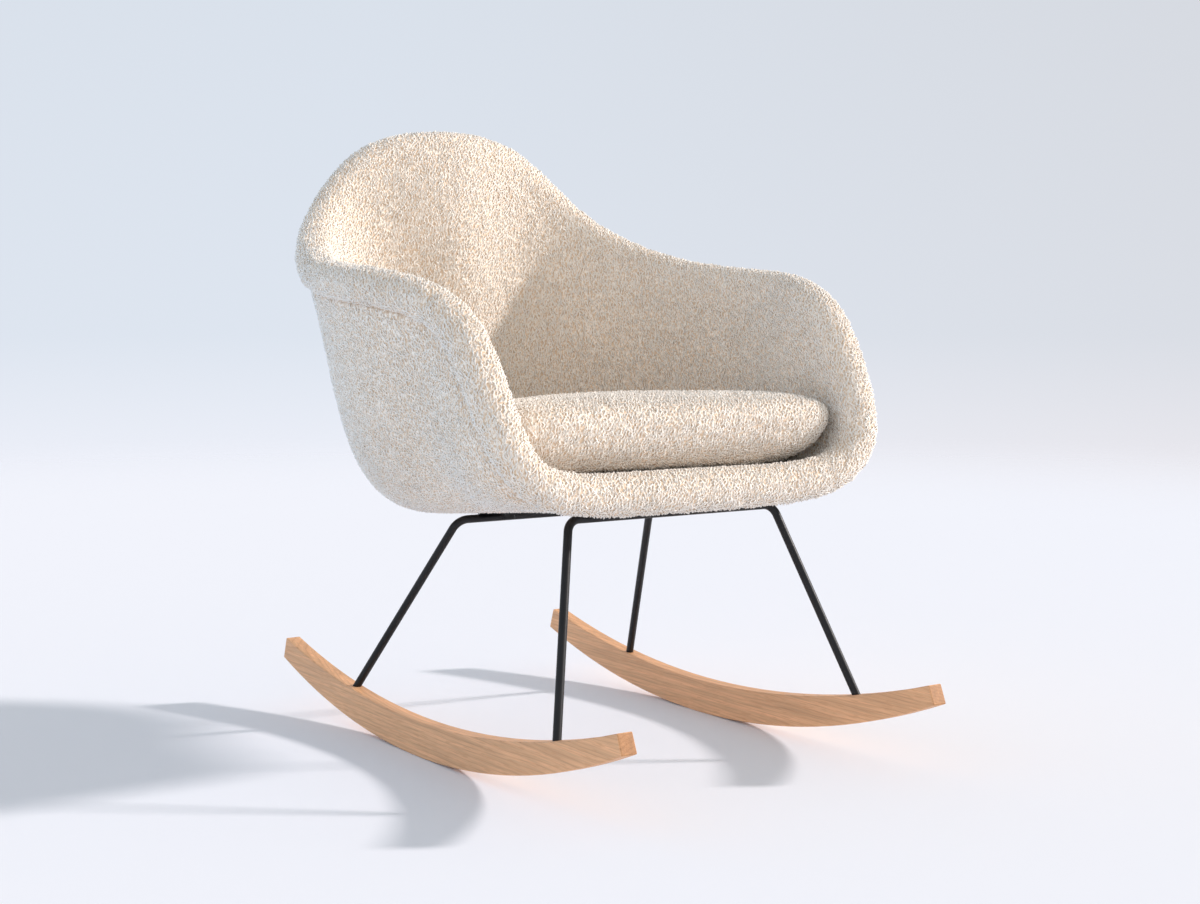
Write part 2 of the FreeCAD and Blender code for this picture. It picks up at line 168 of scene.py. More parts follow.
def put_mottle(tree, broad, fine):
    """The mottle, placed in a material with its own two scales."""
    return put(tree, "ShaderNodeGroup", {"Broad Scale": broad, "Fine Scale": fine}, node_tree=mottle)


mottle_outputs = [socket.name for socket in mottle.interface.items_tree if socket.in_out == "OUTPUT"]
print("group", mottle.name, "with outputs", mottle_outputs)

# %% [markdown]
# ## Boucle cloth
# Boucle is woven from a looped, curly yarn, so the cloth is a field of small soft loops. From a
# step away the loops are what the eye reads, so they are real mesh, made further down. The
# material tells two layers apart by the attribute `yarn`. The loops are pale. The ground under them
# is a mat of lower loops whose gaps are painted tan and darker, as painted shade and bounced light
# between the fibres. Both get fine fuzz as bump. Wool scatters light at its edges, which the shader's
# sheen gives.

# %% Boucle material
yarn_pale = (0.972, 0.934, 0.886)
yarn_warm = (0.945, 0.873, 0.795)
# The gap colour is painted shade: a darker tan where the ground sinks between the loops.
painted_gap_shade = (0.71, 0.545, 0.40)
mat_scale = (430.0, 430.0, 260.0)
batch_scale = 9.0
fuzz_scale = 900.0
fuzz_share = 0.35
fuzz_depth = 0.0010


def boucle_material():
    material, tree, shader = new_material(
        "boucle", Roughness=0.95, Sheen_Weight=0.12, Sheen_Roughness=0.45, Specular_IOR_Level=0.1)
    yarn = put(tree, "ShaderNodeAttribute", attribute_name="yarn")
    grain = put_mottle(tree, batch_scale, fuzz_scale)
    place = put(tree, "ShaderNodeTexCoord")
    drawn = put(tree, "ShaderNodeMapping", {"Scale": mat_scale})
    wire(tree, place, "Object", drawn, "Vector")
    mat = put(tree, "ShaderNodeTexNoise", {"Scale": 1.0, "Detail": 1.0, "Distortion": 0.5})
    wire(tree, drawn, 0, mat, "Vector")
    loop_tone = ramp(tree, [(0.35, yarn_warm), (0.6, yarn_pale)])
    wire(tree, mat, "Fac", loop_tone, "Fac")
    # The ground is painted with shade: its gaps take the darker tan of the gap colour, the rest the
    # yarn's own tone.
    ground_painted_shade = ramp(tree, [(0.42, painted_gap_shade), (0.60, yarn_warm)])
    wire(tree, mat, "Fac", ground_painted_shade, "Fac")
    cloth = put(tree, "ShaderNodeMix", data_type="RGBA")
    wire(tree, yarn, "Fac", cloth, "Factor")
    wire(tree, ground_painted_shade, "Color", cloth, "A")
    wire(tree, loop_tone, "Color", cloth, "B")
    # Broad, faint change of tone, as between one batch of yarn and the next.
    batch = spread(tree, 0.96, 1.03)
    wire(tree, grain, "Broad", batch, "Value")
    shade = put(tree, "ShaderNodeVectorMath", operation="SCALE")
    wire(tree, cloth, "Result", shade, 0)
    wire(tree, batch, "Result", shade, "Scale")
    wire(tree, shade, 0, shader, "Base Color")
    pile = put(tree, "ShaderNodeMath", {1: fuzz_share}, operation="MULTIPLY_ADD")
    wire(tree, grain, "Fine", pile, 0)
    wire(tree, mat, "Fac", pile, 2)
    bump = put(tree, "ShaderNodeBump", {"Strength": 0.7, "Distance": fuzz_depth})
    wire(tree, pile, 0, bump, "Height")
    wire(tree, bump, "Normal", shader, "Normal")
    return material


boucle = boucle_material()
print("material", boucle.name)

# %% [markdown]
# ## Padded bodies from the layers
# The seat is foam and cloth in thin layers on a plastic shell. What shows is the outline that the
# layers make together, so the layers are copied, joined and remeshed as one closed body. A voxel
# remesh gives even, square faces and rounds every edge a little, as foam does.

# %% Copy and remesh
def model_mesh(*names):
    """Points and triangles of some nodes of the model, as arrays."""
    points = []
    corners = []
    count = 0
    for name in names:
        mesh = nodes_of_model[name].data
        mesh.calc_loop_triangles()
        place = np.empty(len(mesh.vertices) * 3)
        mesh.vertices.foreach_get("co", place)
        triangle = np.empty(len(mesh.loop_triangles) * 3, int)
        mesh.loop_triangles.foreach_get("vertices", triangle)
        points.append(place.reshape(-1, 3))
        corners.append(triangle.reshape(-1, 3) + count)
        count += len(mesh.vertices)
    return np.concatenate(points), np.concatenate(corners)


def layer_surface(layers):
    """The surface of some layers, ready to be asked for its nearest point."""
    points, corners = model_mesh(*layers)
    return BVHTree.FromPolygons(points.tolist(), corners.tolist())


def as_object(name, mesh):
    """An object at the origin that holds the mesh."""
    made = bpy.data.objects.new(name, mesh)
    scene.collection.objects.link(made)
    return made


def settled_mesh(obj):
    """The object's mesh with its modifiers applied, as a new mesh."""
    graph = bpy.context.evaluated_depsgraph_get()
    return bpy.data.meshes.new_from_object(obj.evaluated_get(graph))


def take_mesh(obj, mesh):
    """Gives the object a finished mesh and clears its modifiers."""
    old = obj.data
    obj.modifiers.clear()
    obj.data = mesh
    bpy.data.meshes.remove(old)
    mesh.name = obj.name


def padded_body(name, layers, voxel):
    """One closed body with the outline of all the layers together."""
    points, corners = model_mesh(*layers)
    mesh = bpy.data.meshes.new(name)
    mesh.from_pydata(points.tolist(), [], corners.tolist())
    form = bmesh.new()
    form.from_mesh(mesh)
    bmesh.ops.remove_doubles(form, verts=form.verts, dist=1e-6)
    form.to_mesh(mesh)
    form.free()
    body = as_object(name, mesh)
    remesh = body.modifiers.new("even faces", "REMESH")
    remesh.mode = "VOXEL"
    remesh.voxel_size = voxel
    smooth = body.modifiers.new("soft", "SMOOTH")
    smooth.factor = 0.5
    smooth.iterations = 3
    take_mesh(body, settled_mesh(body))
    print(name, "from", len(layers), "layers:", len(body.data.polygons), "faces at", voxel * 1000, "mm")
    return body


def coords(mesh):
    """The mesh's points, as an array."""
    place = np.empty(len(mesh.vertices) * 3, np.float32)
    mesh.vertices.foreach_get("co", place)
    return place.reshape(-1, 3)


def set_coords(mesh, place):
    """Moves the mesh's points to the places in the array."""
    mesh.vertices.foreach_set("co", np.ascontiguousarray(place, np.float32).ravel())
    mesh.update()


# %% [markdown]
# ## Which side shows
# Half of each body lies against the shell and never shows, so it gets no yarn. A point counts as
# hidden when a neighbouring layer is within a few millimetres of it. The result is kept on the mesh
# as the attribute `shown`.

# %% Hidden side
def mark_shown(body, layers, reach):
    """Keeps, for each point, 1 where the body shows and 0 where a layer is within reach."""
    mesh = body.data
    shown = np.ones(len(mesh.vertices), np.float32)
    if layers:
        surface = layer_surface(layers)
        for i, place in enumerate(coords(mesh)):
            if surface.find_nearest(Vector(place.tolist()), reach)[0] is not None:
                shown[i] = 0.0
    mesh.attributes.new("shown", "FLOAT", "POINT").data.foreach_set("value", shown)
    print(body.name, "shows", round(100 * float(shown.mean())), "% of its points")


# %% [markdown]
# ## The crease
# Where the two covers of the seat meet, the hidden grip strip pulls the cloth in. Every point that
# shows near the other cover sinks a little, more the nearer it is, which gives a soft valley.

# %% Pull in the crease
crease_reach = 0.013
crease_depth = 0.0035


def pull_in(body, layers):
    """Sinks what shows of the body along its normals where the layers come near."""
    mesh = body.data
    surface = layer_surface(layers)
    shown = np.empty(len(mesh.vertices), np.float32)
    mesh.attributes["shown"].data.foreach_get("value", shown)
    normal = np.empty(len(mesh.vertices) * 3, np.float32)
    mesh.vertex_normals.foreach_get("vector", normal)
    place = coords(mesh)
    sink = np.zeros(len(place))
    for i in np.flatnonzero(shown):
        distance = surface.find_nearest(Vector(place[i].tolist()), crease_reach)[3]
        if distance is not None:
            sink[i] = crease_depth * (1.0 - distance / crease_reach)
    set_coords(mesh, place - sink[:, None] * normal.reshape(-1, 3))
    print(body.name, "sinks at", int((sink > 0).sum()), "points along the crease")


# %% [markdown]
# ## Yarn by Geometry Nodes
# The loops of the yarn repeat all over the cloth, so a geometry tree makes them. It first gives the
# surface shallow lumps, as tufts of yarn do. Then it scatters points at an even distance and puts one
# low bow of yarn on each. The bows follow the nap, which is brushed one way, but each is turned and
# tilted a little at random. A bow is a bent tube of very few faces, because there are so many.

# %% Tufted ground
def tufted_ground(tree, entry, shown):
    """Smooth cells push the surface in and out along its normal."""
    density = put(tree, "ShaderNodeMath", {0: 1.0}, operation="DIVIDE")
    wire(tree, entry, "Tuft Spacing", density, 1)
    cells = put(tree, "ShaderNodeTexVoronoi", {"Smoothness": 0.5}, feature="SMOOTH_F1")
    wire(tree, density, 0, cells, "Scale")
    level = put(tree, "ShaderNodeMath", {0: 0.45}, operation="SUBTRACT")
    wire(tree, cells, "Distance", level, 1)
    masked = put(tree, "ShaderNodeMath", operation="MULTIPLY")
    wire(tree, level, 0, masked, 0)
    wire(tree, shown, "Attribute", masked, 1)
    length = put(tree, "ShaderNodeMath", operation="MULTIPLY")
    wire(tree, masked, 0, length, 0)
    wire(tree, entry, "Tuft Height", length, 1)
    normal = put(tree, "GeometryNodeInputNormal")
    push = put(tree, "ShaderNodeVectorMath", operation="SCALE")
    wire(tree, normal, 0, push, 0)
    wire(tree, length, 0, push, "Scale")
    tufted = put(tree, "GeometryNodeSetPosition")
    wire(tree, entry, "Geometry", tufted, "Geometry")
    wire(tree, push, 0, tufted, "Offset")
    ground = put(tree, "GeometryNodeStoreNamedAttribute", {"Name": "yarn", "Value": 0.0},
                 data_type="FLOAT", domain="POINT")
    wire(tree, tufted, "Geometry", ground, "Geometry")
    return ground


# %% One loop
bow_half = math.radians(82)
bow_sunk = 0.1


def one_loop(tree, entry):
    """A low bow that springs from the ground and goes back into it, as a tube."""
    arc = put(tree, "GeometryNodeCurveArc",
              {"Resolution": 3, "Radius": 1.0,
               "Start Angle": math.pi / 2 - bow_half, "Sweep Angle": 2 * bow_half},
              mode="RADIUS")
    bow = put(tree, "GeometryNodeTransform",
              {"Translation": (0.0, 0.0, -math.cos(bow_half) - bow_sunk),
               "Rotation": (math.pi / 2, 0.0, 0.0)})
    wire(tree, arc, "Curve", bow, "Geometry")
    ring = put(tree, "GeometryNodeCurvePrimitiveCircle", {"Resolution": 3})
    thin = put(tree, "ShaderNodeMath", operation="DIVIDE")
    wire(tree, entry, "Yarn Radius", thin, 0)
    wire(tree, entry, "Loop Radius", thin, 1)
    wire(tree, thin, 0, ring, "Radius")
    tube = put(tree, "GeometryNodeCurveToMesh", {"Fill Caps": True})
    wire(tree, bow, "Geometry", tube, "Curve")
    wire(tree, ring, "Curve", tube, "Profile Curve")
    soft = put(tree, "GeometryNodeSetShadeSmooth")
    wire(tree, tube, "Mesh", soft, "Geometry")
    strand = put(tree, "GeometryNodeStoreNamedAttribute", {"Name": "yarn", "Value": 1.0},
                 data_type="FLOAT", domain="POINT")
    wire(tree, soft, "Geometry", strand, "Geometry")
    return strand


# %% Scattered loops
nap_way = (0.2, 0.5, 0.85)
loop_turn = (0.7, 0.25, 0.6)
loop_growth = (0.75, 1.25)


def scattered_loops(tree, entry, shown, ground, strand):
    """Loops at an even distance over what shows, along the nap."""
    scatter = put(tree, "GeometryNodeDistributePointsOnFaces", {"Density Max": 300000.0},
                  distribute_method="POISSON")
    wire(tree, ground, "Geometry", scatter, "Mesh")
    wire(tree, entry, "Loop Spacing", scatter, "Distance Min")
    wire(tree, shown, "Attribute", scatter, "Density Factor")
    wire(tree, entry, "Seed", scatter, "Seed")
    nap = put(tree, "FunctionNodeAlignRotationToVector", {"Vector": nap_way}, axis="X", pivot_axis="Z")
    wire(tree, scatter, "Rotation", nap, "Rotation")
    turn = put(tree, "FunctionNodeRandomValue",
               {"Min": tuple(-v for v in loop_turn), "Max": loop_turn}, data_type="FLOAT_VECTOR")
    wire(tree, entry, "Seed", turn, "Seed")
    spin = put(tree, "FunctionNodeEulerToRotation")
    wire(tree, turn, "Value", spin, "Euler")
    aim = put(tree, "FunctionNodeRotateRotation", rotation_space="LOCAL")
    wire(tree, nap, "Rotation", aim, "Rotation")
    wire(tree, spin, "Rotation", aim, "Rotate By")
    least, most = loop_growth
    grow = put(tree, "FunctionNodeRandomValue", {"Min": least, "Max": most}, data_type="FLOAT")
    size = put(tree, "ShaderNodeMath", operation="MULTIPLY")
    wire(tree, grow, "Value", size, 0)
    wire(tree, entry, "Loop Radius", size, 1)
    loops = put(tree, "GeometryNodeInstanceOnPoints")
    wire(tree, scatter, "Points", loops, "Points")
    wire(tree, strand, "Geometry", loops, "Instance")
    wire(tree, aim, "Rotation", loops, "Rotation")
    wire(tree, size, 0, loops, "Scale")
    return loops


# %% The whole yarn tree
def yarn_tree():
    """Ground and loops together, with named inputs for their sizes."""
    tree = bpy.data.node_groups.new("boucle_yarn", "GeometryNodeTree")
    face = tree.interface
    face.new_socket("Geometry", in_out="INPUT", socket_type="NodeSocketGeometry")
    for name, value in (("Tuft Spacing", 0.012), ("Tuft Height", 0.002), ("Loop Spacing", 0.003),
                        ("Loop Radius", 0.002), ("Yarn Radius", 0.001)):
        face.new_socket(name, in_out="INPUT", socket_type="NodeSocketFloat").default_value = value
    face.new_socket("Seed", in_out="INPUT", socket_type="NodeSocketInt").default_value = 0
    face.new_socket("Cloth", in_out="INPUT", socket_type="NodeSocketMaterial")
    face.new_socket("Geometry", in_out="OUTPUT", socket_type="NodeSocketGeometry")
    entry = put(tree, "NodeGroupInput")
    leave = put(tree, "NodeGroupOutput")
    shown = put(tree, "GeometryNodeInputNamedAttribute", {"Name": "shown"}, data_type="FLOAT")
    ground = tufted_ground(tree, entry, shown)
    strand = one_loop(tree, entry)
    loops = scattered_loops(tree, entry, shown, ground, strand)
    both = put(tree, "GeometryNodeJoinGeometry")
    wire(tree, ground, "Geometry", both, "Geometry")
    wire(tree, loops, "Instances", both, "Geometry")
    real = put(tree, "GeometryNodeRealizeInstances")
    wire(tree, both, "Geometry", real, "Geometry")
    dress = put(tree, "GeometryNodeSetMaterial")
    wire(tree, real, "Geometry", dress, "Geometry")
    wire(tree, entry, "Cloth", dress, "Material")
    wire(tree, dress, "Geometry", leave, "Geometry")
    return tree


yarn = yarn_tree()
print("tree", yarn.name, "with", len(yarn.nodes), "nodes")

# %% Yarn on a body
long_yarn = {
    "Tuft Spacing": 0.0105,
    "Tuft Height": 0.0028,
    "Loop Spacing": 0.0031,
    "Loop Radius": 0.0023,
    "Yarn Radius": 0.0009,
}
# The outside of the seat is drawn tighter, so its loops lie flatter.
short_yarn = {**long_yarn, "Tuft Height": 0.0014, "Loop Radius": 0.0019, "Yarn Radius": 0.00082}


def with_yarn(body, sizes, seed):
    """Runs the yarn tree on the body and keeps the result as its mesh."""
    made = body.modifiers.new("yarn", "NODES")
    made.node_group = yarn
    values = {**sizes, "Seed": seed, "Cloth": boucle}
    for socket in yarn.interface.items_tree:
        if socket.in_out == "INPUT" and socket.name in values:
            made[socket.identifier] = values[socket.name]
    body.data.shade_smooth()
    ground = len(body.data.polygons)
    take_mesh(body, settled_mesh(body))
    print(body.name, "has", ground, "faces of ground and", len(body.data.polygons) - ground, "of yarn")


# %% [markdown]
# ## The seat's upholstery
# Two bodies meet at the crease under the roll: the inside with the roll, and the outside. Each is
# remeshed, marked where it shows, pulled in along the crease and then covered with yarn. The cloth
# is stretched over firm foam here and has no slack, so no solver is needed.

# %% Upholstery
seat_voxel = 0.0055
beside = 0.0032

inside_layers = ["inner_cover", "inner_pad", "rim_roll"]
outside_layers = ["outer_cover", "outer_pad"]
seat_inside = padded_body("seat_inside", inside_layers, seat_voxel)
seat_outside = padded_body("seat_outside", outside_layers, seat_voxel)
mark_shown(seat_inside, ["seat_shell", "grip_strip"] + outside_layers, beside)
mark_shown(seat_outside, ["seat_shell", "grip_strip"] + inside_layers, beside)
pull_in(seat_inside, outside_layers)
pull_in(seat_outside, inside_layers)
with_yarn(seat_inside, long_yarn, 1)
with_yarn(seat_outside, short_yarn, 2)

for body, layers, fill in ((seat_inside, inside_layers, 0.9), (seat_outside, outside_layers, 0.95)):
    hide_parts(*layers)
    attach(body, "chair")

# %% [markdown]
# ## The loose cushion
# The cushion is a bag of two boucle panels round a foam core, joined in a seam half way up its
# side. Cloth under pressure finds the form by itself: the solver blows the bag up against its own
# stiffness, and no point may go further than a set limit, nor further than the seat beside it
# leaves room for. The cloth is stiff, because this thick fabric takes no small folds.

# %% Room for the cushion
cushion_layers = ["cushion_core", "cushion_top_cover", "cushion_base_cover"]
cushion_voxel = 0.008
cushion_pressure = 1.4
cushion_frames = 20
cushion_limit = 0.022
cushion_room = 0.0015
cushion_tension = 200.0
cushion_bending = 200.0


def room_beside(mesh, layers, least, most):
    """How far each point may move before it comes nearer than the least distance to the layers."""
    surface = layer_surface(layers)
    room = np.full(len(mesh.vertices), most)
    for i, place in enumerate(coords(mesh)):
        distance = surface.find_nearest(Vector(place.tolist()), most + least)[3]
        if distance is not None:
            room[i] = min(most, max(0.0, distance - least))
    return room


# %% Swell the cushion
def swell(body):
    """Cloth under pressure, with the movement of each point held to its room."""
    start = coords(body.data)
    room = room_beside(body.data, ["inner_cover"], cushion_room, cushion_limit)
    cloth = body.modifiers.new("cloth", "CLOTH")
    cloth.settings.quality = 5
    cloth.settings.use_pressure = True
    cloth.settings.uniform_pressure_force = cushion_pressure
    cloth.settings.effector_weights.gravity = 0.0
    cloth.settings.tension_stiffness = cushion_tension
    cloth.settings.compression_stiffness = cushion_tension
    cloth.settings.bending_stiffness = cushion_bending
    cloth.point_cache.frame_start = 1
    cloth.point_cache.frame_end = cushion_frames
    for step in range(1, cushion_frames + 1):
        scene.frame_set(step)
    mesh = settled_mesh(body)
    scene.frame_set(1)
    move = coords(mesh) - start
    length = np.linalg.norm(move, axis=1)
    share = np.minimum(1.0, room / np.maximum(length, 1e-9))
    set_coords(mesh, start + move * share[:, None])
    take_mesh(body, mesh)
    moved = 1000 * share * length
    mean_move = round(float(moved.mean()), 1)
    most_move = round(float(moved.max()), 1)
    print(body.name, "moved", mean_move, "mm on average, at most", most_move)


def subdivided(body):
    """Splits every face once, which rounds the form."""
    rounder = body.modifiers.new("rounder", "SUBSURF")
    rounder.levels = 1
    rounder.render_levels = 1
    take_mesh(body, settled_mesh(body))


# %% Make the cushion
cushion = padded_body("seat_cushion", cushion_layers, cushion_voxel)
swell(cushion)
subdivided(cushion)
mark_shown(cushion, [], beside)
with_yarn(cushion, long_yarn, 3)
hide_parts(*cushion_layers)
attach(cushion, "cushion")

# %% [markdown]
# ## Oak rockers
# Each rocker is sawn from a straight plank, so the grain runs level through the curve and the
# edges cut across it. The growth rings are cylinders round a pith far below the board: on the sides
# they show as long lines, on the ends as arcs. Pores are short dark dashes along the grain.

# %% Growth rings
oak_light = (0.80, 0.445, 0.232)
oak_mid = (0.75, 0.405, 0.21)
oak_dark = (0.62, 0.31, 0.15)
ring_spacing = 0.0044
pith_depth = 0.32
wander_scale = (16.0, 2.4, 16.0)
wander_reach = 0.032


def drawn_noise(tree, place, scale, detail):
    """Noise with its own scale along each axis, so that it can be drawn out along the plank."""
    drawn = put(tree, "ShaderNodeMapping", {"Scale": scale})
    wire(tree, place, "Object", drawn, "Vector")
    noise = put(tree, "ShaderNodeTexNoise", {"Scale": 1.0, "Detail": detail})
    wire(tree, drawn, 0, noise, "Vector")
    return noise


def growth_rings(tree, place):
    """The colour by the distance from the pith, which wanders slowly along the plank."""
    wander = drawn_noise(tree, place, wander_scale, 3.0)
    split = put(tree, "ShaderNodeSeparateXYZ")
    wire(tree, place, "Object", split, 0)
    low = put(tree, "ShaderNodeMath", {1: pith_depth}, operation="ADD")
    wire(tree, split, "Z", low, 0)
    across = put(tree, "ShaderNodeCombineXYZ")
    wire(tree, split, "X", across, "X")
    wire(tree, low, 0, across, "Y")
    away = put(tree, "ShaderNodeVectorMath", operation="LENGTH")
    wire(tree, across, 0, away, 0)
    strayed = put(tree, "ShaderNodeMath", {1: wander_reach}, operation="MULTIPLY_ADD")
    wire(tree, wander, "Fac", strayed, 0)
    wire(tree, away, "Value", strayed, 2)
    count = put(tree, "ShaderNodeMath", {1: ring_spacing}, operation="DIVIDE")
    wire(tree, strayed, 0, count, 0)
    ring = put(tree, "ShaderNodeMath", operation="FRACT")
    wire(tree, count, 0, ring, 0)
    tone = ramp(tree, [(0.0, oak_mid), (0.55, oak_light), (0.86, oak_mid), (1.0, oak_dark)])
    wire(tree, ring, 0, tone, "Fac")
    return tone


# %% End grain
oak_end_shade = (0.62, 0.56, 0.48)


def end_grain(tree):
    """End grain drinks the oil and stays darker: it shows where the surface faces along the plank."""
    facing = put(tree, "ShaderNodeNewGeometry")
    along = put(tree, "ShaderNodeVectorMath", {1: (0.0, 1.0, 0.0)}, operation="DOT_PRODUCT")
    wire(tree, facing, "Normal", along, 0)
    ends = put(tree, "ShaderNodeMath", operation="ABSOLUTE")
    wire(tree, along, "Value", ends, 0)
    depth = ramp(tree, [(0.6, (1.0, 1.0, 1.0)), (0.9, oak_end_shade)])
    wire(tree, ends, 0, depth, "Fac")
    return depth


# %% Oak material
fibre_scale = (900.0, 26.0, 900.0)
pore_scale = (700.0, 60.0, 700.0)
streak_scale = (130.0, 5.0, 130.0)
pore_share = 0.55
grain_depth = 0.0003


def scaled(tree, colour, out, tone):
    """The colour times a tone that changes over the surface."""
    made = put(tree, "ShaderNodeVectorMath", operation="SCALE")
    wire(tree, colour, out, made, 0)
    wire(tree, tone, "Result", made, "Scale")
    return made


def oak_material():
    material, tree, shader = new_material("oak", Roughness=0.5, Specular_IOR_Level=0.35)
    place = put(tree, "ShaderNodeTexCoord")
    rings = growth_rings(tree, place)
    fibre = drawn_noise(tree, place, fibre_scale, 2.0)
    pore = drawn_noise(tree, place, pore_scale, 0.0)
    streak = drawn_noise(tree, place, streak_scale, 3.0)
    # Fibres and broader streaks change the tone of the rings.
    fibre_tone = spread(tree, 0.86, 1.08)
    wire(tree, fibre, "Fac", fibre_tone, "Value")
    streak_tone = spread(tree, 0.84, 1.12)
    wire(tree, streak, "Fac", streak_tone, "Value")
    brushed = scaled(tree, rings, "Color", fibre_tone)
    toned = scaled(tree, brushed, 0, streak_tone)
    # Pores are the peaks of their noise.
    pit = put(tree, "ShaderNodeMapRange", {"From Min": 0.62, "From Max": 0.74})
    wire(tree, pore, "Fac", pit, "Value")
    pit_share = put(tree, "ShaderNodeMath", {1: pore_share}, operation="MULTIPLY")
    wire(tree, pit, "Result", pit_share, 0)
    pitted = put(tree, "ShaderNodeMix", {"B": (*oak_dark, 1.0)}, data_type="RGBA")
    wire(tree, pit_share, 0, pitted, "Factor")
    wire(tree, toned, 0, pitted, "A")
    grained = put(tree, "ShaderNodeVectorMath", operation="MULTIPLY")
    wire(tree, pitted, "Result", grained, 0)
    wire(tree, end_grain(tree), "Color", grained, 1)
    wire(tree, grained, 0, shader, "Base Color")
    gloss = spread(tree, 0.42, 0.6)
    wire(tree, fibre, "Fac", gloss, "Value")
    wire(tree, gloss, "Result", shader, "Roughness")
    relief = put(tree, "ShaderNodeMath", operation="SUBTRACT")
    wire(tree, fibre, "Fac", relief, 0)
    wire(tree, pit, "Result", relief, 1)
    bump = put(tree, "ShaderNodeBump", {"Strength": 0.35, "Distance": grain_depth})
    wire(tree, relief, 0, bump, "Height")
    wire(tree, bump, "Normal", shader, "Normal")
    return material


oak = oak_material()
print("material", oak.name)

# %% [markdown]
# ## Coated steel and moulded plastic
# The rods and bars are powder coated: nearly black, half matt, with the faint orange peel that the
# baked powder leaves. Bolts, washers and nuts are blacked, so smoother and a little browner. The
# shell, its grip strip and the spacers are moulded plastic with a fine even grain.

# %% Dark materials
def dark_material(name, colour, rough, broad, fine, bump_depth, **more):
    """A dark finish whose tone, gloss and surface all vary a little."""
    material, tree, shader = new_material(name, **more)
    grain = put_mottle(tree, broad, fine)
    darker = tuple(0.7 * c for c in colour)
    lighter = tuple(1.35 * c for c in colour)
    tone = ramp(tree, [(0.3, darker), (0.7, lighter)])
    wire(tree, grain, "Broad", tone, "Fac")
    wire(tree, tone, "Color", shader, "Base Color")
    gloss = spread(tree, rough - 0.06, rough + 0.06)
    wire(tree, grain, "Fine", gloss, "Value")
    wire(tree, gloss, "Result", shader, "Roughness")
    bump = put(tree, "ShaderNodeBump", {"Strength": 0.3, "Distance": bump_depth})
    wire(tree, grain, "Fine", bump, "Height")
    wire(tree, bump, "Normal", shader, "Normal")
    return material


powder_coat = dark_material(
    "powder_coat", (0.008, 0.008, 0.009), 0.4, 30.0, 900.0, 0.0002, Specular_IOR_Level=0.32)
blacked_steel = dark_material(
    "blacked_steel", (0.03, 0.028, 0.026), 0.36, 80.0, 1400.0, 0.0001, Metallic=0.7)
shell_plastic = dark_material("shell_plastic", (0.14, 0.14, 0.14), 0.6, 25.0, 1800.0, 0.0002)
spacer_plastic = dark_material("spacer_plastic", (0.03, 0.03, 0.03), 0.5, 60.0, 1800.0, 0.0002)

# %% Finish the hard pieces
finish_of_node = {
    "front_leg_rod": powder_coat,
    "rear_leg_rod": powder_coat,
    "left_mount_bar": powder_coat,
    "right_mount_bar": powder_coat,
    "seat_bolts": blacked_steel,
    "seat_washers": blacked_steel,
    "shell_nuts": blacked_steel,
    "seat_spacers": spacer_plastic,
    "seat_shell": shell_plastic,
    "grip_strip": shell_plastic,
    "left_rocker": oak,
    "right_rocker": oak,
}
for name, finish in finish_of_node.items():
    mesh = nodes_of_model[name].data
    mesh.materials.clear()
    mesh.materials.append(finish)
print("finished", len(finish_of_node), "hard pieces")

# %% [markdown]
# ## Floor, backdrop and light
# The chair stands on a pale seamless floor. One low key light from the right throws long shadows
# to the left. A soft fill from all round lightens them: cool on the left, warmer on the right, and
# brightest low down. The floor fades out with distance, so that the backdrop has no edge from any
# side. The backdrop is only seen by the camera and in reflections: it lights nothing, so its tone
# can be set freely.

# %% Floor
floor_colour = (0.845, 0.865, 0.93)
floor_fade_from = 2.6
floor_fade_to = 5.5
floor_radius = 6.0


def floor_material():
    """A pale, matt floor that fades out with the distance from the chair."""
    material, tree, shader = new_material("floor", Roughness=0.9, Specular_IOR_Level=0.0)
    shader.inputs["Base Color"].default_value = (*floor_colour, 1.0)
    place = put(tree, "ShaderNodeTexCoord")
    away = put(tree, "ShaderNodeVectorMath", operation="LENGTH")
    wire(tree, place, "Object", away, 0)
    fade = put(tree, "ShaderNodeMapRange",
               {"From Min": floor_fade_from, "From Max": floor_fade_to, "To Min": 1.0, "To Max": 0.0})
    fade.interpolation_type = "SMOOTHSTEP"
    wire(tree, away, "Value", fade, "Value")
    wire(tree, fade, "Result", shader, "Alpha")
    return material


def floor_disc():
    """A round floor that carries the chair's shadow."""
    form = bmesh.new()
    bmesh.ops.create_circle(form, cap_ends=True, segments=96, radius=floor_radius)
    mesh = bpy.data.meshes.new("floor")
    form.to_mesh(mesh)
    form.free()
    mesh.materials.append(floor_material())
    return as_object("floor", mesh)


floor = floor_disc()
print("floor", floor_radius, "m in radius")

# %% Key light
key_bearing = math.radians(-26.5)
key_rise = math.radians(24.6)
key_spread = math.radians(5.0)
key_power = 3.1
key_colour = (1.0, 0.93, 0.895)
key_distance = 4.0

key_way = Vector((
    math.cos(key_rise) * math.cos(key_bearing),
    math.cos(key_rise) * math.sin(key_bearing),
    math.sin(key_rise),
))
key_data = bpy.data.lights.new("key", "SUN")
key_data.angle = key_spread
key_data.energy = key_power
key_data.color = key_colour
key = bpy.data.objects.new("key", key_data)
key.location = key_way * key_distance
key.rotation_euler = key_way.to_track_quat("Z", "Y").to_euler()
scene.collection.objects.link(key)
print("key light from", [round(v, 3) for v in key_way])

# %% Backdrop
backdrop_top = (0.70, 0.755, 0.835)
backdrop_mid = (0.73, 0.785, 0.87)
backdrop_low = (0.875, 0.89, 0.965)
backdrop_right = (0.965, 0.93, 0.905)


def multiplied(tree, first, second):
    """Two ramps' colours, multiplied."""
    made = put(tree, "ShaderNodeVectorMath", operation="MULTIPLY")
    wire(tree, first, "Color", made, 0)
    wire(tree, second, "Color", made, 1)
    return made


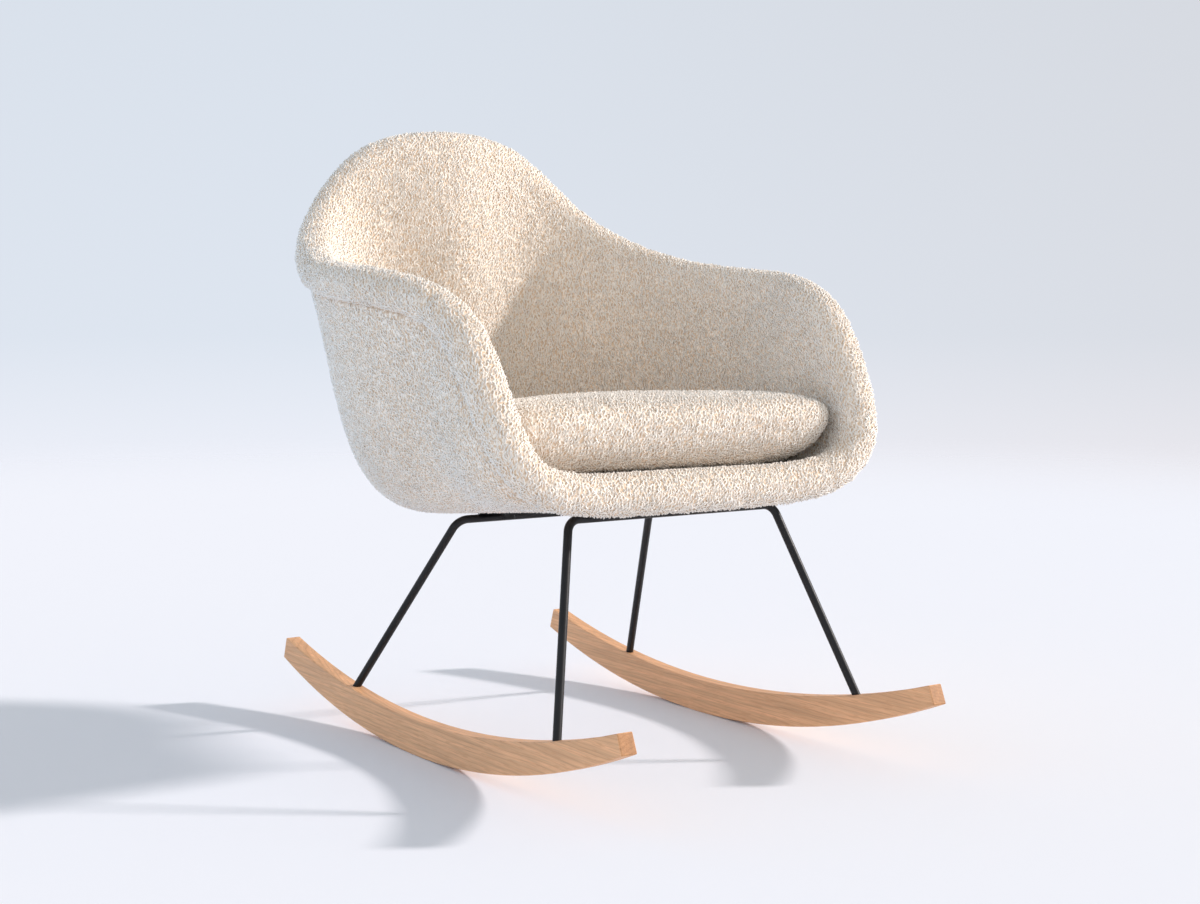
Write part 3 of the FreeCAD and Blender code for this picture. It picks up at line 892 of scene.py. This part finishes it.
def seen_backdrop(tree, place, split):
    """What the camera sees: paler low down, a little greyer towards the picture's right."""
    rise = put(tree, "ShaderNodeMapRange", {"From Min": -0.10, "From Max": 0.16})
    wire(tree, split, "Z", rise, "Value")
    tone = ramp(tree, [(0.0, backdrop_low), (0.32, backdrop_mid), (1.0, backdrop_top)])
    wire(tree, rise, "Result", tone, "Fac")
    rightward = tuple(camera.matrix_world.col[0][:3])
    across = put(tree, "ShaderNodeVectorMath", {1: rightward}, operation="DOT_PRODUCT")
    wire(tree, place, "Generated", across, 0)
    edge = put(tree, "ShaderNodeMapRange", {"From Min": -0.3, "From Max": 0.3})
    wire(tree, across, "Value", edge, "Value")
    greyer = ramp(tree, [(0.3, (1.0, 1.0, 1.0)), (1.0, backdrop_right)])
    wire(tree, edge, "Result", greyer, "Fac")
    seen = put(tree, "ShaderNodeBackground", {"Strength": 1.0})
    wire(tree, multiplied(tree, tone, greyer), 0, seen, "Color")
    return seen


# %% Fill light
fill_power = 1.02
fill_axis = (0.75, -0.66, 0.0)
fill_hues = [(0.0, (0.66, 0.92, 1.25)), (0.4, (0.60, 0.63, 0.65)), (1.0, (0.92, 0.88, 0.83))]
fill_levels = [
    (0.0, (1.7, 1.7, 1.7)),
    (0.2, (1.35, 1.35, 1.35)),
    (0.5, (0.94, 0.91, 0.87)),
    (1.0, (0.70, 0.66, 0.61)),
]


def fill_light(tree, place, split):
    """What lights the chair from all round: a hue along one axis, a level by height."""
    toward = put(tree, "ShaderNodeVectorMath", {1: fill_axis}, operation="DOT_PRODUCT")
    wire(tree, place, "Generated", toward, 0)
    side = put(tree, "ShaderNodeMapRange", {"From Min": -1.0, "From Max": 1.0})
    wire(tree, toward, "Value", side, "Value")
    hue = ramp(tree, fill_hues)
    wire(tree, side, "Result", hue, "Fac")
    level = ramp(tree, fill_levels)
    wire(tree, split, "Z", level, "Fac")
    fill = put(tree, "ShaderNodeBackground", {"Strength": fill_power})
    wire(tree, multiplied(tree, hue, level), 0, fill, "Color")
    return fill


# %% World
def studio_world():
    """The fill for the light's own rays, the backdrop for the camera, gloss and glass."""
    world = bpy.data.worlds.new("studio")
    world.use_nodes = True
    tree = world.node_tree
    tree.nodes.clear()
    place = put(tree, "ShaderNodeTexCoord")
    split = put(tree, "ShaderNodeSeparateXYZ")
    wire(tree, place, "Generated", split, 0)
    path = put(tree, "ShaderNodeLightPath")
    first = put(tree, "ShaderNodeMath", operation="MAXIMUM")
    wire(tree, path, "Is Camera Ray", first, 0)
    wire(tree, path, "Is Glossy Ray", first, 1)
    either = put(tree, "ShaderNodeMath", operation="MAXIMUM")
    wire(tree, first, 0, either, 0)
    wire(tree, path, "Is Transmission Ray", either, 1)
    mix = put(tree, "ShaderNodeMixShader")
    wire(tree, either, 0, mix, "Fac")
    wire(tree, fill_light(tree, place, split), 0, mix, 1)
    wire(tree, seen_backdrop(tree, place, split), 0, mix, 2)
    leave = put(tree, "ShaderNodeOutputWorld")
    wire(tree, mix, 0, leave, "Surface")
    return world


scene.world = studio_world()
scene.view_settings.view_transform = "Standard"
print("world", scene.world.name, "with", len(scene.world.node_tree.nodes), "nodes")
